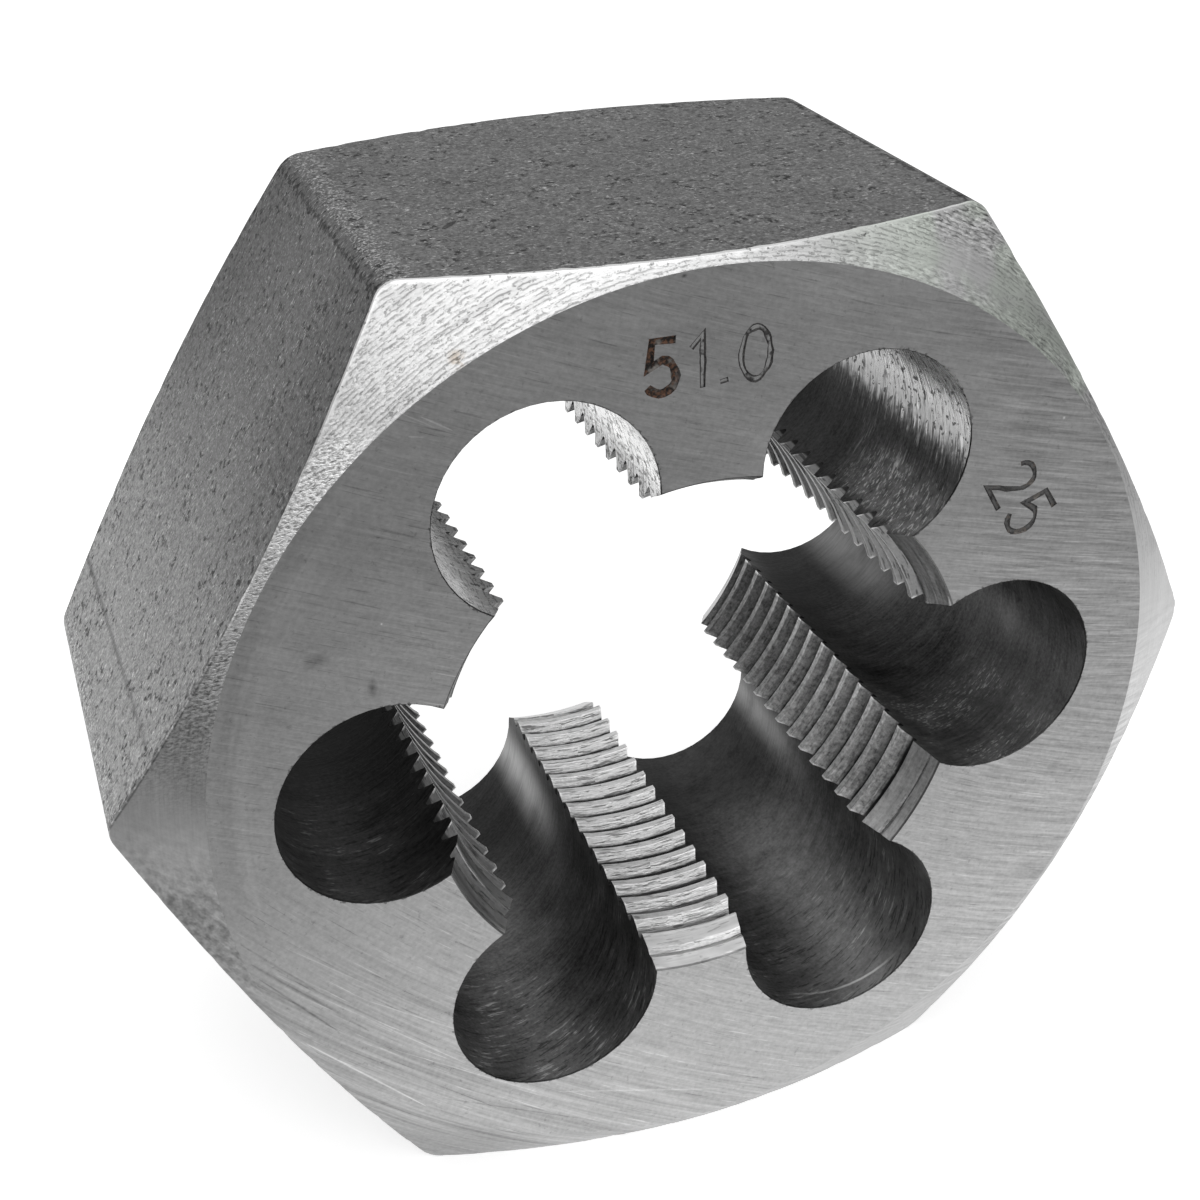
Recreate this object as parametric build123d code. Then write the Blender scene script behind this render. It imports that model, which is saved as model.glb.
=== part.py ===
from build123d import *
import math
import os

# Hexagonal rethreading die for a metric fine thread, in one piece of hardened tool steel.
# It stands on one of its six flats. X runs to the right, Y from the front face to the back
# face and Z up. The origin is on the thread's axis, half way through the die.

# Hexagon body, in millimetres and degrees
side_count = 6
across_flats = 51.0
thickness = 25.0
corner_radius = 1.35  # the long corners of the hexagon
face_inset = 0.5  # the round ground face ends this far inside the flats
chamfer_angle = 30.0  # the chamfer's cone, measured from the end face

# Thread M28 x 1.5, right-hand
thread_diameter = 28.0
pitch = 1.5
flank_angle = 30.0  # one flank, measured from the plane square to the axis
first_crest_depth = 0.77  # crest below the front face, half way along the top land

# Lead-in cones, ground into both ends of the thread
lead_in_rise = 0.3  # the cone's mouth stands this far outside the thread's roots
lead_in_angle = 30.0  # measured from the axis

# Chip holes on the hexagon's corners, which leave one land of teeth behind each flat
chip_hole_diameter = 11.1
chip_hole_setback = 2.3  # from the thread's roots out to the holes' centres

# Proportions of the basic metric thread profile, as shares of the pitch
root_flat_share = 1 / 8
crest_flat_share = 1 / 4

# How far the cutting bodies run past the die, and how much of a sector one groove sweeps
overshoot = 1.0
groove_overshoot = 0.2
groove_sector_share = 0.8
spare_turns = 1  # grooves placed past each end face

sector = 360 / side_count
face_radius = across_flats / 2 - face_inset
root_radius = thread_diameter / 2
crest_flat = crest_flat_share * pitch
root_flat = root_flat_share * pitch
tooth_height = (pitch - crest_flat - root_flat) / 2 / math.tan(math.radians(flank_angle))
crest_radius = root_radius - tooth_height

# The axis runs towards the front. In this plane x is up, so sector angles start at the top.
axis_plane = Plane(origin=(0, 0, 0), x_dir=(0, 0, 1), z_dir=(0, -1, 0))


def hexagon_bar():
    """Bar with rounded long corners and a flat at the top."""
    outline = RegularPolygon(
        across_flats / 2, side_count, major_radius=False, rotation=sector / 2
    )
    outline = fillet(outline.vertices(), corner_radius)
    return extrude(outline, thickness / 2, both=True)


def turned_envelope():
    """Solid of revolution that chamfers both ends of the bar."""
    half = thickness / 2
    outer_radius = across_flats / 2 / math.cos(math.pi / side_count) + overshoot
    drop = (outer_radius - face_radius) * math.tan(math.radians(chamfer_angle))
    front_rim, front_edge = (face_radius, 0, half), (outer_radius, 0, half - drop)
    back_rim, back_edge = (face_radius, 0, -half), (outer_radius, 0, drop - half)
    # As Bezier lines, the chamfers meet the flats in splines of finite length, not in hyperbolas.
    outline = Polyline(back_rim, (0, 0, -half), (0, 0, half), front_rim)
    outline += Bezier(front_rim, front_edge) + Line(front_edge, back_edge)
    outline += Bezier(back_edge, back_rim)
    return revolve(make_face(outline), Axis.Z)


def chip_holes():
    """Round holes on the hexagon's corners, which break into the thread."""
    hole = Cylinder(chip_hole_diameter / 2, thickness + 2 * overshoot)
    circle_radius = root_radius + chip_hole_setback
    return PolarLocations(circle_radius, side_count, start_angle=sector / 2) * hole


def lead_in():
    """Full cone that tapers the front end of the thread."""
    slope = math.tan(math.radians(lead_in_angle))
    base_radius = root_radius + lead_in_rise + overshoot * slope
    height = base_radius / slope
    return Pos(0, 0, thickness / 2 + overshoot - height / 2) * Cone(base_radius, 0, height)


def land_groove():
    """One groove between two teeth, swept along the helix across one land at angle 0."""
    inner_radius = crest_radius - groove_overshoot
    slope = math.tan(math.radians(flank_angle))
    half_mouth = root_flat / 2 + (root_radius - inner_radius) * slope
    profile = make_face(
        Polyline(
            (inner_radius, 0, -half_mouth),
            (root_radius, 0, -root_flat / 2),
            (root_radius, 0, root_flat / 2),
            (inner_radius, 0, half_mouth),
            close=True,
        )
    )
    sweep_angle = groove_sector_share * sector
    rise = pitch * sweep_angle / 360
    groove = sweep(profile, Helix(pitch, rise, crest_radius), is_frenet=True)
    return Rot(0, 0, -sweep_angle / 2) * Pos(0, 0, -rise / 2) * groove


def thread_grooves():
    """Every groove of every land, placed on one right-hand helix."""
    groove = land_groove()
    first_crest = thickness / 2 - first_crest_depth
    first_groove = first_crest + pitch / 2 + spare_turns * pitch
    turns = math.ceil(thickness / pitch) + 1 + 2 * spare_turns
    grooves = []
    for land in range(side_count):
        for turn in range(turns):
            height = first_groove + pitch * (land / side_count - turn)
            grooves.append(Pos(0, 0, height) * Rot(0, 0, sector * land) * groove)
    return grooves


def hex_die():
    """The whole die, with its axis along Z and its front face at the top."""
    die = hexagon_bar() & turned_envelope()
    die -= Cylinder(crest_radius, thickness + 2 * overshoot)
    die -= chip_holes()
    die -= thread_grooves()
    for end in (lead_in(), Rot(180, 0, 0) * lead_in()):
        die -= end
    return die


os.makedirs("parts", exist_ok=True)
export_step(axis_plane * hex_die(), "parts/hex_die.step")
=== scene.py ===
import math

import bmesh
import bpy
from mathutils import Matrix, Vector, geometry, noise

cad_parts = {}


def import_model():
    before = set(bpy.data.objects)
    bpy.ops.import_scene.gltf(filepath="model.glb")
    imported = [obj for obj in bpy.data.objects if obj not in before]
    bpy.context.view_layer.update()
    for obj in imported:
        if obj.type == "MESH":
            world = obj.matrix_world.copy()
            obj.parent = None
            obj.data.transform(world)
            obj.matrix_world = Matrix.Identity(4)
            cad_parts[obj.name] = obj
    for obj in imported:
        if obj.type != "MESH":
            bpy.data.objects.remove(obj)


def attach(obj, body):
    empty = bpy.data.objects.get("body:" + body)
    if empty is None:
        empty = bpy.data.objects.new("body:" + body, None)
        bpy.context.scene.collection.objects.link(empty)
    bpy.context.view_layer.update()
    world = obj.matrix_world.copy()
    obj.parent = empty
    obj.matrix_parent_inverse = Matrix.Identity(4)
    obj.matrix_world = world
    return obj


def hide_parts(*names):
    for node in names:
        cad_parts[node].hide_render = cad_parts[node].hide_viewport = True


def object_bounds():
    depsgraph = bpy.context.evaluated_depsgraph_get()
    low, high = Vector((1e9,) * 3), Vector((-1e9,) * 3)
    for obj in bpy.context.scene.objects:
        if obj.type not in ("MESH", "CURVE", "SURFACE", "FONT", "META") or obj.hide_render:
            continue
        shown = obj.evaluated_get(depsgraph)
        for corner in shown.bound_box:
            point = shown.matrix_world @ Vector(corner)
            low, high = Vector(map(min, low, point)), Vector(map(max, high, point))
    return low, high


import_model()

# The finish of a hexagonal rethreading die, in metres. Angles round the thread's axis start at
# the top and run clockwise as seen from the front. The front face looks along -Y.
mm = 0.001
cad_low, cad_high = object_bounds()

# Hexagon body
side_count = 6
sector = 2 * math.pi / side_count
half_flats = (cad_high.z - cad_low.z) / 2
half_depth = (cad_high.y - cad_low.y) / 2
corner_radius = 1.35 * mm
face_radius = half_flats - 0.5 * mm
chamfer_slope = math.tan(math.radians(30))
edge_break = 0.05 * mm  # the fine burr line along the chamfer and round the holes

# Thread, lead-in cones and chip holes
root_radius = 14.0 * mm
pitch = 1.5 * mm
flank_slope = 1 / math.tan(math.radians(30))  # radial rise for each step along the axis
crest_flat = pitch / 4
root_flat = pitch / 8
crest_radius = root_radius - (pitch - crest_flat - root_flat) / 2 * flank_slope
first_crest_depth = 0.77 * mm
mouth_radius = root_radius + 0.3 * mm
lead_in_slope = math.tan(math.radians(30))
hole_radius = 5.55 * mm
hole_circle = root_radius + 2.3 * mm

# Mesh of the threaded wall
rows_per_pitch = 16
land_columns = 12
wall_columns = 16
sharp_angle = math.radians(25)

# Photographed view
camera_place = Vector((-32.297, -83.723, 53.876)) * mm
camera_right_turn = math.radians(17.845)  # from +Y towards +X
camera_down_turn = math.radians(24.505)
camera_roll = math.radians(-1.4)
lens_mm = 55.97
frame_shift = (0.0667, -0.1626)


class Value:
    """An output of a node times a plain number. Sums, products and the like of values become nodes."""

    def __init__(self, output, factor=1.0):
        self.output = output
        self.factor = factor

    def socket(self):
        """The output itself, or the output of a node that multiplies it by the factor."""
        if self.factor == 1.0:
            return self.output
        return calc("MULTIPLY", Value(self.output), self.factor).output

    def __mul__(self, other):
        if isinstance(other, Value):
            return calc("MULTIPLY", self, other)
        return Value(self.output, self.factor * other)

    def __neg__(self):
        return Value(self.output, -self.factor)

    def __add__(self, other):
        """A sum, which takes a factor into its own node."""
        if isinstance(other, Value) and self.factor == 1.0:
            self, other = other, self
        if self.factor == 1.0:
            return calc("ADD", self, other)
        return calc("MULTIPLY_ADD", Value(self.output), self.factor, other)

    def __sub__(self, other):
        return self + -other

    def __rsub__(self, other):
        return -self + other

    def __truediv__(self, other):
        return calc("DIVIDE", self, other)

    def __rtruediv__(self, other):
        return calc("DIVIDE", other, self)

    def __pow__(self, other):
        return calc("POWER", self, other)

    def __abs__(self):
        return calc("ABSOLUTE", self)

    def __gt__(self, other):
        return calc("GREATER_THAN", self, other)

    def __lt__(self, other):
        return calc("LESS_THAN", self, other)

    __radd__ = __add__
    __rmul__ = __mul__


def feed(socket, value):
    """Links a socket to a value, a node's first output or another socket, or gives it a number."""
    if isinstance(value, Value):
        value = value.socket()
    if isinstance(value, bpy.types.Node):
        value = value.outputs[0]
    if isinstance(value, bpy.types.NodeSocket):
        socket.id_data.links.new(value, socket)
    else:
        socket.default_value = value


def add(tree, kind, feeds=None, **settings):
    """Adds a node with its settings, and feeds its inputs by name or number."""
    node = tree.nodes.new(kind)
    for name, value in settings.items():
        setattr(node, name, value)
    for name, value in (feeds or {}).items():
        feed(node.inputs[name], value)
    return node


def fed(kind, feeds, **settings):
    """Adds a node to the tree of the values that feed it."""
    tree = next(value.output.id_data for value in feeds.values() if isinstance(value, Value))
    return add(tree, kind, feeds, **settings)


def made(kind, feeds, out=0, **settings):
    """One output, the first unless named, of a node that values feed."""
    return Value(fed(kind, feeds, **settings).outputs[out])


def values_of(node):
    """The outputs of a node, by name."""
    return {output.name: Value(output) for output in node.outputs}


def calc(operation, *values):
    return made("ShaderNodeMath", dict(enumerate(values)), operation=operation)


def clamped(value):
    """A sum or quotient that was just made, held between 0 and 1."""
    value.output.node.use_clamp = True
    return value


def vector_calc(operation, *values, out="Vector"):
    return made("ShaderNodeVectorMath", dict(enumerate(values)), out, operation=operation)


def hypotenuse(a, b):
    return calc("SQRT", a * a + b * b)


def reach_of(vector):
    return vector_calc("LENGTH", vector, out="Value")


def combine(x, y, z):
    return made("ShaderNodeCombineXYZ", {"X": x, "Y": y, "Z": z})


def separate(vector):
    return values_of(fed("ShaderNodeSeparateXYZ", {"Vector": vector})).values()


def largest(first, *others):
    for other in others:
        first = calc("MAXIMUM", first, other)
    return first


def mixed(share, first, second):
    """A value that goes from the first to the second as the share rises."""
    return made("ShaderNodeMix", {0: share, 2: first, 3: second}, data_type="FLOAT")


def tinted(share, first, second):
    """A colour that goes from the first to the second as the share rises."""
    return made("ShaderNodeMix", {0: share, 6: first, 7: second}, 2, data_type="RGBA")


def span(value, low, high, to_low=0.0, to_high=1.0, smooth=True):
    """Maps a value from low..high to to_low..to_high, held at both ends."""
    kind = "SMOOTHSTEP" if smooth else "LINEAR"
    feeds = {"Value": value, "From Min": low, "From Max": high, "To Min": to_low, "To Max": to_high}
    return made("ShaderNodeMapRange", feeds, "Result", interpolation_type=kind)


socket_types = {int: "NodeSocketInt", float: "NodeSocketFloat", tuple: "NodeSocketVector"}


def new_group(name, inputs, results_of, kind="ShaderNodeTree"):
    """A node group with named inputs, whose outputs are what results_of gives for them."""
    tree = bpy.data.node_groups.new(name, kind)
    for label, value in inputs.items():
        socket = tree.interface.new_socket(label, in_out="INPUT", socket_type=socket_types[type(value)])
        socket.default_value = value
    results = results_of(tree, values_of(tree.nodes.new("NodeGroupInput")))
    end = tree.nodes.new("NodeGroupOutput")
    for label, value in results.items():
        tree.interface.new_socket(label, in_out="OUTPUT", socket_type=value.output.bl_idname)
        feed(end.inputs[label], value)
    return tree


# The threaded wall: six lands of teeth on one right-hand helix, with a chip hole between each pair.

chatter_scale = 1400.0  # of the noise, for each metre
burr_level, burr_growth = 0.45, 4.0  # burrs stand where the noise is past the level
snap_share = 0.4  # rows that are nearer to an end than this share of their step are put on it
edge_slack = 0.25  # points within this share of a column of a land's edge are on the edge
thread_sizes = {
    "Lands": side_count,
    "Pitch": pitch,
    "Crest Radius": crest_radius,
    "Root Radius": root_radius,
    "Crest Flat": crest_flat,
    "Flank Slope": flank_slope,
    "First Crest Depth": first_crest_depth,
    "Lead-in Mouth Radius": mouth_radius,
    "Lead-in Slope": lead_in_slope,
    "Chip Hole Radius": hole_radius,
    "Chip Hole Circle Radius": hole_circle,
    "Half Depth": half_depth,
    "Edge Break": edge_break,
    "Tool Chatter": 0.03 * mm,
    "Burr Height": 0.06 * mm,
    "Chatter Seed": 4.0,
}


def wall(tree, size, materials):
    """The threaded wall in Geometry Nodes, one sector of grid for each land."""
    circle = size["Chip Hole Circle Radius"]
    half = size["Half Depth"]
    step = pitch / rows_per_pitch
    rows_before = math.ceil((first_crest_depth + pitch) / step) + 1
    rows_after = math.ceil((2 * half_depth - first_crest_depth + pitch / 12) / step) + 1
    rows = rows_before + rows_after
    columns = land_columns + 2 * wall_columns
    grid = add(tree, "GeometryNodeMeshGrid", {
        "Size X": 1.0, "Size Y": 1.0, "Vertices X": columns + 1, "Vertices Y": rows + 1})
    points = add(tree, "GeometryNodePoints", {"Count": size["Lands"]})
    copies = add(tree, "GeometryNodeInstanceOnPoints", {"Points": points, "Instance": grid})
    numbered = add(tree, "GeometryNodeCaptureAttribute", domain="INSTANCE")
    numbered.capture_items.new("INT", "Land")
    feed(numbered.inputs["Geometry"], copies)
    feed(numbered.inputs["Land"], add(tree, "GeometryNodeInputIndex"))
    real = add(tree, "GeometryNodeRealizeInstances", {"Geometry": numbered.outputs["Geometry"]})
    placed = add(tree, "GeometryNodeCaptureAttribute", domain="POINT")
    placed.capture_items.new("VECTOR", "Grid Place")
    feed(placed.inputs["Geometry"], real)
    feed(placed.inputs["Grid Place"], add(tree, "GeometryNodeInputPosition"))
    across, down, _ = separate(Value(placed.outputs["Grid Place"]))

    # Columns: the land in the middle of its sector, half a chip hole's wall on each side
    column = across * columns
    side = calc("SIGN", column)
    from_middle = abs(column)
    land_share = clamped(from_middle / (land_columns / 2))
    past_edge = from_middle - land_columns / 2
    wall_share = clamped(past_edge / wall_columns)

    def hole_angle(radius, hole):
        """Angle round a chip hole, from outwards, at which its wall crosses a radius."""
        return calc("ARCCOSINE", (radius ** 2.0 - circle ** 2.0 - hole ** 2.0) / (circle * hole * 2.0))

    def turned(angle, hole):
        """Distance from the axis, and angle from the hole's own direction, of a point of its wall."""
        outward = circle + hole * calc("COSINE", angle)
        aside = hole * calc("SINE", angle)
        return hypotenuse(outward, aside), calc("ARCTAN2", aside, outward)

    # Rows follow the helix, so that crests and roots run along the mesh
    half_sector = math.pi / size["Lands"]
    sector_middle = Value(numbered.outputs["Land"]) * (2.0 * half_sector)
    drilled = size["Chip Hole Radius"]
    _, crest_turn = turned(hole_angle(size["Crest Radius"], drilled), drilled)
    nominal = (half_sector - crest_turn) * land_share + crest_turn * wall_share
    advance = (sector_middle + side * nominal) * size["Pitch"] / (2 * math.pi)
    row = (down + 0.5) * rows
    row_step = size["Pitch"] / rows_per_pitch
    first_crest = size["First Crest Depth"] - half
    limit = half - size["Edge Break"]
    depth = first_crest + (row - rows_before) * row_step + advance
    near_end = abs(depth) > limit - snap_share * row_step
    depth = depth * (1 - near_end) + near_end * calc("SIGN", depth) * limit
    end_row = abs(row - rows / 2) > rows / 2 - 0.5
    depth = depth * (1 - end_row) + end_row * calc("SIGN", row - rows / 2) * half
    grown = end_row * size["Edge Break"]

    # Thread profile, cut back by the lead-in cones
    phase = depth - advance - first_crest
    turn = phase - calc("ROUND", phase / size["Pitch"]) * size["Pitch"]
    rise = largest(abs(turn) - 0.5 * size["Crest Flat"], 0.0) * size["Flank Slope"]
    tooth = calc("MINIMUM", size["Crest Radius"] + rise, size["Root Radius"])
    cone = size["Lead-in Mouth Radius"] - (half - abs(depth)) * size["Lead-in Slope"]
    land_radius = largest(tooth, cone) + grown

    # Every point lies on the land or on the chip hole's wall
    hole = drilled + grown
    wall_angle = hole_angle(land_radius, hole) * (1 - wall_share)
    reach, turn_back = turned(wall_angle, hole)
    angle = sector_middle + side * (land_share * (half_sector - turn_back))

    # Chatter of the tap on the teeth, and burrs where they break into the holes
    def at_reach(reach):
        return combine(reach * calc("SINE", angle), depth, reach * calc("COSINE", angle))

    ripple = made("ShaderNodeTexNoise", {
        "Vector": at_reach(reach), "Scale": chatter_scale, "Detail": 2.0, "W": size["Chatter Seed"]},
        noise_dimensions="4D")
    on_land = 1 - (past_edge > edge_slack)
    at_edge = abs(past_edge) < edge_slack
    not_rim = 1 - near_end
    chatter = (ripple - 0.5) * size["Tool Chatter"] * on_land * not_rim
    burr = largest(ripple - burr_level, 0.0) * size["Burr Height"] * at_edge * not_rim
    moved = add(tree, "GeometryNodeSetPosition", {
        "Geometry": placed.outputs["Geometry"], "Position": at_reach(reach + chatter - burr_growth * burr)})
    arc = side * wall_angle * hole * (-1.0 / mm)
    stored = add(tree, "GeometryNodeStoreNamedAttribute", {
        "Geometry": moved, "Name": "around_hole", "Value": arc}, data_type="FLOAT", domain="POINT")
    last = add(tree, "GeometryNodeMergeByDistance", {"Geometry": stored, "Distance": 1e-6})
    on_wall = past_edge > 0.0
    on_cone = (cone - tooth > 0.0) * (1 - on_wall)
    for name, selection in ("teeth", True), ("lead_in", on_cone), ("holes", on_wall):
        last = add(tree, "GeometryNodeSetMaterial", {
            "Geometry": last, "Selection": selection, "Material": materials[name]})
    return {"Wall": Value(last.outputs[0])}


def threaded_wall(materials):
    """The wall as a plain mesh, made by its node group."""
    holder = bpy.data.objects.new("wall_holder", bpy.data.meshes.new("wall_holder"))
    bpy.context.collection.objects.link(holder)
    tree = new_group("Threaded wall", thread_sizes, lambda tree, size: wall(tree, size, materials),
                     "GeometryNodeTree")
    modifier = holder.modifiers.new("Threaded wall", "NODES")
    modifier.node_group = tree
    for item in tree.interface.items_tree:
        if item.in_out == "INPUT":
            modifier[item.identifier] = thread_sizes[item.name]
    bpy.context.view_layer.update()
    graph = bpy.context.evaluated_depsgraph_get()
    mesh = bpy.data.meshes.new_from_object(holder.evaluated_get(graph), depsgraph=graph)
    bpy.data.objects.remove(holder)
    return mesh


def waver(x, y, z, scale):
    """Smooth noise, from about -1 to 1, at a place times a scale."""
    return noise.noise(Vector((x, y, z)) * scale)


# The engraved numbers: single strokes on a grid whose unit is the height of a digit.

def arc_points(centre, radii, start, end, count):
    """Points of an elliptic arc, with angles in degrees from the right, anticlockwise."""
    points = []
    for i in range(count + 1):
        a = math.radians(start + (end - start) * i / count)
        points.append((centre[0] + radii[0] * math.cos(a), centre[1] + radii[1] * math.sin(a)))
    return points


two_bow = arc_points((0.27, 0.72), (0.27, 0.28), 165, -35, 12)
five_bow = arc_points((0.26, 0.32), (0.28, 0.32), 88, -150, 13)
digit_strokes = {
    # the points of the stroke, whether it is closed, and how wide the digit is
    "0": (arc_points((0.28, 0.5), (0.28, 0.5), 0, 360, 28)[:-1], True, 0.56),
    "1": ([(0.0, 0.76), (0.22, 1.0), (0.22, 0.0)], False, 0.3),
    "2": ([*two_bow, (0.0, 0.0), (0.58, 0.0)], False, 0.58),
    "5": ([(0.52, 1.0), (0.08, 1.0), (0.02, 0.52), *five_bow], False, 0.56),
    ".": ([(0.0, 0.06), (0.14, 0.075)], False, 0.14),
}


corner_margin = 0.7 * mm  # no extra points nearer than this to a stroke's corners
point_gap = 0.18 * mm
shake_scale, shake_reach = 1600, 0.07 * mm
swell_scale, swell_share = 2500, 0.5


def shaken(points, closed):
    """Stroke points in metres, more of them on the long straights, as moved by an unsteady hand."""
    ends = points[1:] + points[:1] if closed else points[1:]
    placed = []
    for a, b in zip(points, ends):
        a, b = Vector(a), Vector(b)
        placed.append(a)
        length = (b - a).length
        middle = length - 2 * corner_margin
        if middle > 0.2 * mm:
            steps = int(middle / point_gap) + 1
            for i in range(steps + 1):
                placed.append(a + (b - a) * (corner_margin + middle * i / steps) / length)
    if not closed:
        placed.append(Vector(points[-1]))
    moved = []
    for q in placed:
        shake = Vector((waver(q.x, q.y, 0.004, shake_scale), waver(q.x, q.y, 0.012, shake_scale)))
        moved.append(q + shake * shake_reach)
    return moved


def stroke_outline(points, closed, width):
    """Outline of an engraved stroke, as (edge, edge of its floor): one loop if open, two if closed."""
    count = len(points)
    left, right = [], []
    for i, point in enumerate(points):
        before = points[i - 1] if i > 0 or closed else None
        after = points[(i + 1) % count] if i < count - 1 or closed else None
        ways = []
        if before is not None:
            ways.append((point - before).normalized())
        if after is not None:
            ways.append((after - point).normalized())
        way = sum(ways, Vector((0, 0))).normalized()
        mitre = 1 / max(way.dot(ways[0]), 0.5)
        swell = 1 + swell_share * waver(point.x, point.y, 0.007, swell_scale)
        normal = Vector((-way.y, way.x)) * mitre * width * swell / 2
        left.append((point + normal, point + normal * stroke_floor))
        right.append((point - normal, point - normal * stroke_floor))
    return [left, right[::-1]] if closed else [left + right[::-1]]


def engraved_number(text, centre, height, turn, widths):
    """Loops of the strokes of a number, centred on a point of the front face and turned clockwise."""
    advance, loops = 0.0, []
    for i, character in enumerate(text):
        points, closed, wide = digit_strokes[character]
        shifted = [((x + advance) * height, y * height) for x, y in points]
        loops += stroke_outline(shaken(shifted, closed), closed, widths[min(i, len(widths) - 1)])
        advance += wide + digit_gap
    middle = Vector(((advance - digit_gap) / 2 * height, height / 2))
    spin = Matrix.Rotation(-turn, 2)

    def placed(pair):
        return tuple(spin @ (p - middle) + Vector(centre) for p in pair)

    return [[placed(pair) for pair in loop] for loop in loops]


number_height = 2.6 * mm
digit_gap = 0.26  # as a share of the height
stroke_depth = 0.07 * mm
stroke_floor = 0.4  # width of a stroke's floor, as a share of its width
fine_pen, coarse_pen = 0.3 * mm, 0.46 * mm
numbers = (
    # text, middle as (x, z), turn, and the pen widths of the first digit and the others
    ("51.0", (-0.3 * mm, 20.5 * mm), 0.0, (coarse_pen, fine_pen)),
    ("25", (16.9 * mm, 10.3 * mm), math.radians(60), (fine_pen,)),
)


# The outside: hexagon, chamfers and end faces.

def outline_points():
    """Outline of the hexagon, clockwise from the middle of the top flat, as (x, z)."""
    centre_reach = (half_flats - corner_radius) / math.cos(sector / 2)
    half_straight = centre_reach * math.sin(sector / 2)
    flat_steps, corner_steps = 52, 8
    points = []
    for side in range(side_count):
        local = [(half_straight * (2 * i / flat_steps - 1), half_flats) for i in range(flat_steps + 1)]
        for i in range(1, corner_steps):
            a = sector * i / corner_steps
            local.append((half_straight + corner_radius * math.sin(a),
                          half_flats - corner_radius + corner_radius * math.cos(a)))
        c, s = math.cos(side * sector), math.sin(side * sector)
        points += [Vector((x * c + z * s, z * c - x * s)) for x, z in local]
    return points


def inside(loop, point):
    """Whether a point lies inside a closed loop of 2-D points."""
    hit = False
    x, z = point
    for a, b in zip(loop, loop[1:] + loop[:1]):
        if (a[1] > z) != (b[1] > z) and x < (b[0] - a[0]) * (z - a[1]) / (b[1] - a[1]) + a[0]:
            hit = not hit
    return hit


def boundary_loop(bm, depth):
    """The open rim of the threaded wall at one end, in order."""
    edges = [e for e in bm.edges if e.is_boundary and all(abs(v.co.y - depth) < 1e-6 for v in e.verts)]
    links = {}
    for e in edges:
        a, b = e.verts
        links.setdefault(a, []).append(b)
        links.setdefault(b, []).append(a)
    start = edges[0].verts[0]
    loop, last = [start], None
    while True:
        onward = [v for v in links[loop[-1]] if v is not last]
        last = loop[-1]
        if onward[0] is start or len(loop) > len(links):
            break
        loop.append(onward[0])
    return loop


def fill_face(bm, outer, inner, depth, slot, stroke_slot=None, strokes=()):
    """Flat end face between its rim and the threaded wall, with engraved strokes sunk into it."""
    loops = [outer, inner]
    stroke_loops = []
    sunk = {}
    floor_depth = depth - math.copysign(stroke_depth, depth)
    for outline in strokes:
        verts = [bm.verts.new((edge.x, depth, edge.y)) for edge, _ in outline]
        for v, (_, low) in zip(verts, outline):
            sunk[v] = bm.verts.new((low.x, floor_depth, low.y))
        loops.append(verts)
        stroke_loops.append(verts)
    verts = [v for loop in loops for v in loop]

    def flattened(loop):
        return [Vector((v.co.x, v.co.z)) / mm for v in loop]

    edges, start = [], 0
    for loop in loops:
        n = len(loop)
        edges += [(start + i, start + (i + 1) % n) for i in range(n)]
        start += n
    found = geometry.delaunay_2d_cdt(flattened(verts), edges, [], 0, 1e-7)
    places, triangles, origins = found[0], found[2], found[3]
    hole, rim = flattened(inner), flattened(outer)
    stroke_rings = [flattened(loop) for loop in stroke_loops]
    for triangle in triangles:
        middle = sum((Vector(places[i]) for i in triangle), Vector((0, 0))) / 3
        if inside(hole, middle) or not inside(rim, middle):
            continue
        corners = [verts[origins[i][0]] for i in triangle]
        in_stroke = sum(inside(ring, middle) for ring in stroke_rings) % 2 == 1
        if in_stroke:
            corners = [sunk[v] for v in corners]
        bm.faces.new(corners).material_index = stroke_slot if in_stroke else slot
    for loop in stroke_loops:
        for a, b in zip(loop, loop[1:] + loop[:1]):
            bm.faces.new((a, b, sunk[b], sunk[a])).material_index = stroke_slot


# The broken edge between chamfer and flat wanders, and is chipped here and there
wobble_scale, wobble_reach = 700, 0.05 * mm
chip_scale, chip_reach = 1900, 0.3 * mm


def outside_rings():
    """Rings of the body's skin from the front rim to the back rim, as (places, material)."""
    outline = outline_points()
    depth_steps = 12
    rings = []
    front_chamfer, front_flat = [], []
    for p in outline:
        reach = p.length
        drop = (reach - face_radius) * chamfer_slope
        wobble = waver(p.x, 3.0, p.y, wobble_scale) * wobble_reach
        wobble += max(0.0, waver(p.x, 9.0, p.y, chip_scale) - 0.2) * chip_reach
        way = p.normalized()
        inner_drop = drop - edge_break * chamfer_slope + wobble * 0.4
        front_chamfer.append((way * (reach - edge_break), inner_drop))
        front_flat.append((p, drop + edge_break + wobble))
    rings.append(([(p.normalized() * face_radius, 0.0) for p in outline], "chamfer"))
    rings.append((front_chamfer, "burr"))
    for i in range(depth_steps + 1):
        share = i / depth_steps
        ring = []
        for p, start in front_flat:
            end = 2 * half_depth - start
            ring.append((p, start + (end - start) * share))
        rings.append((ring, "flats" if i < depth_steps else "burr"))
    rings.append(([(p, 2 * half_depth - d) for p, d in front_chamfer], "chamfer"))
    rings.append(([(p.normalized() * face_radius, 2 * half_depth) for p in outline], None))
    return rings


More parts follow.
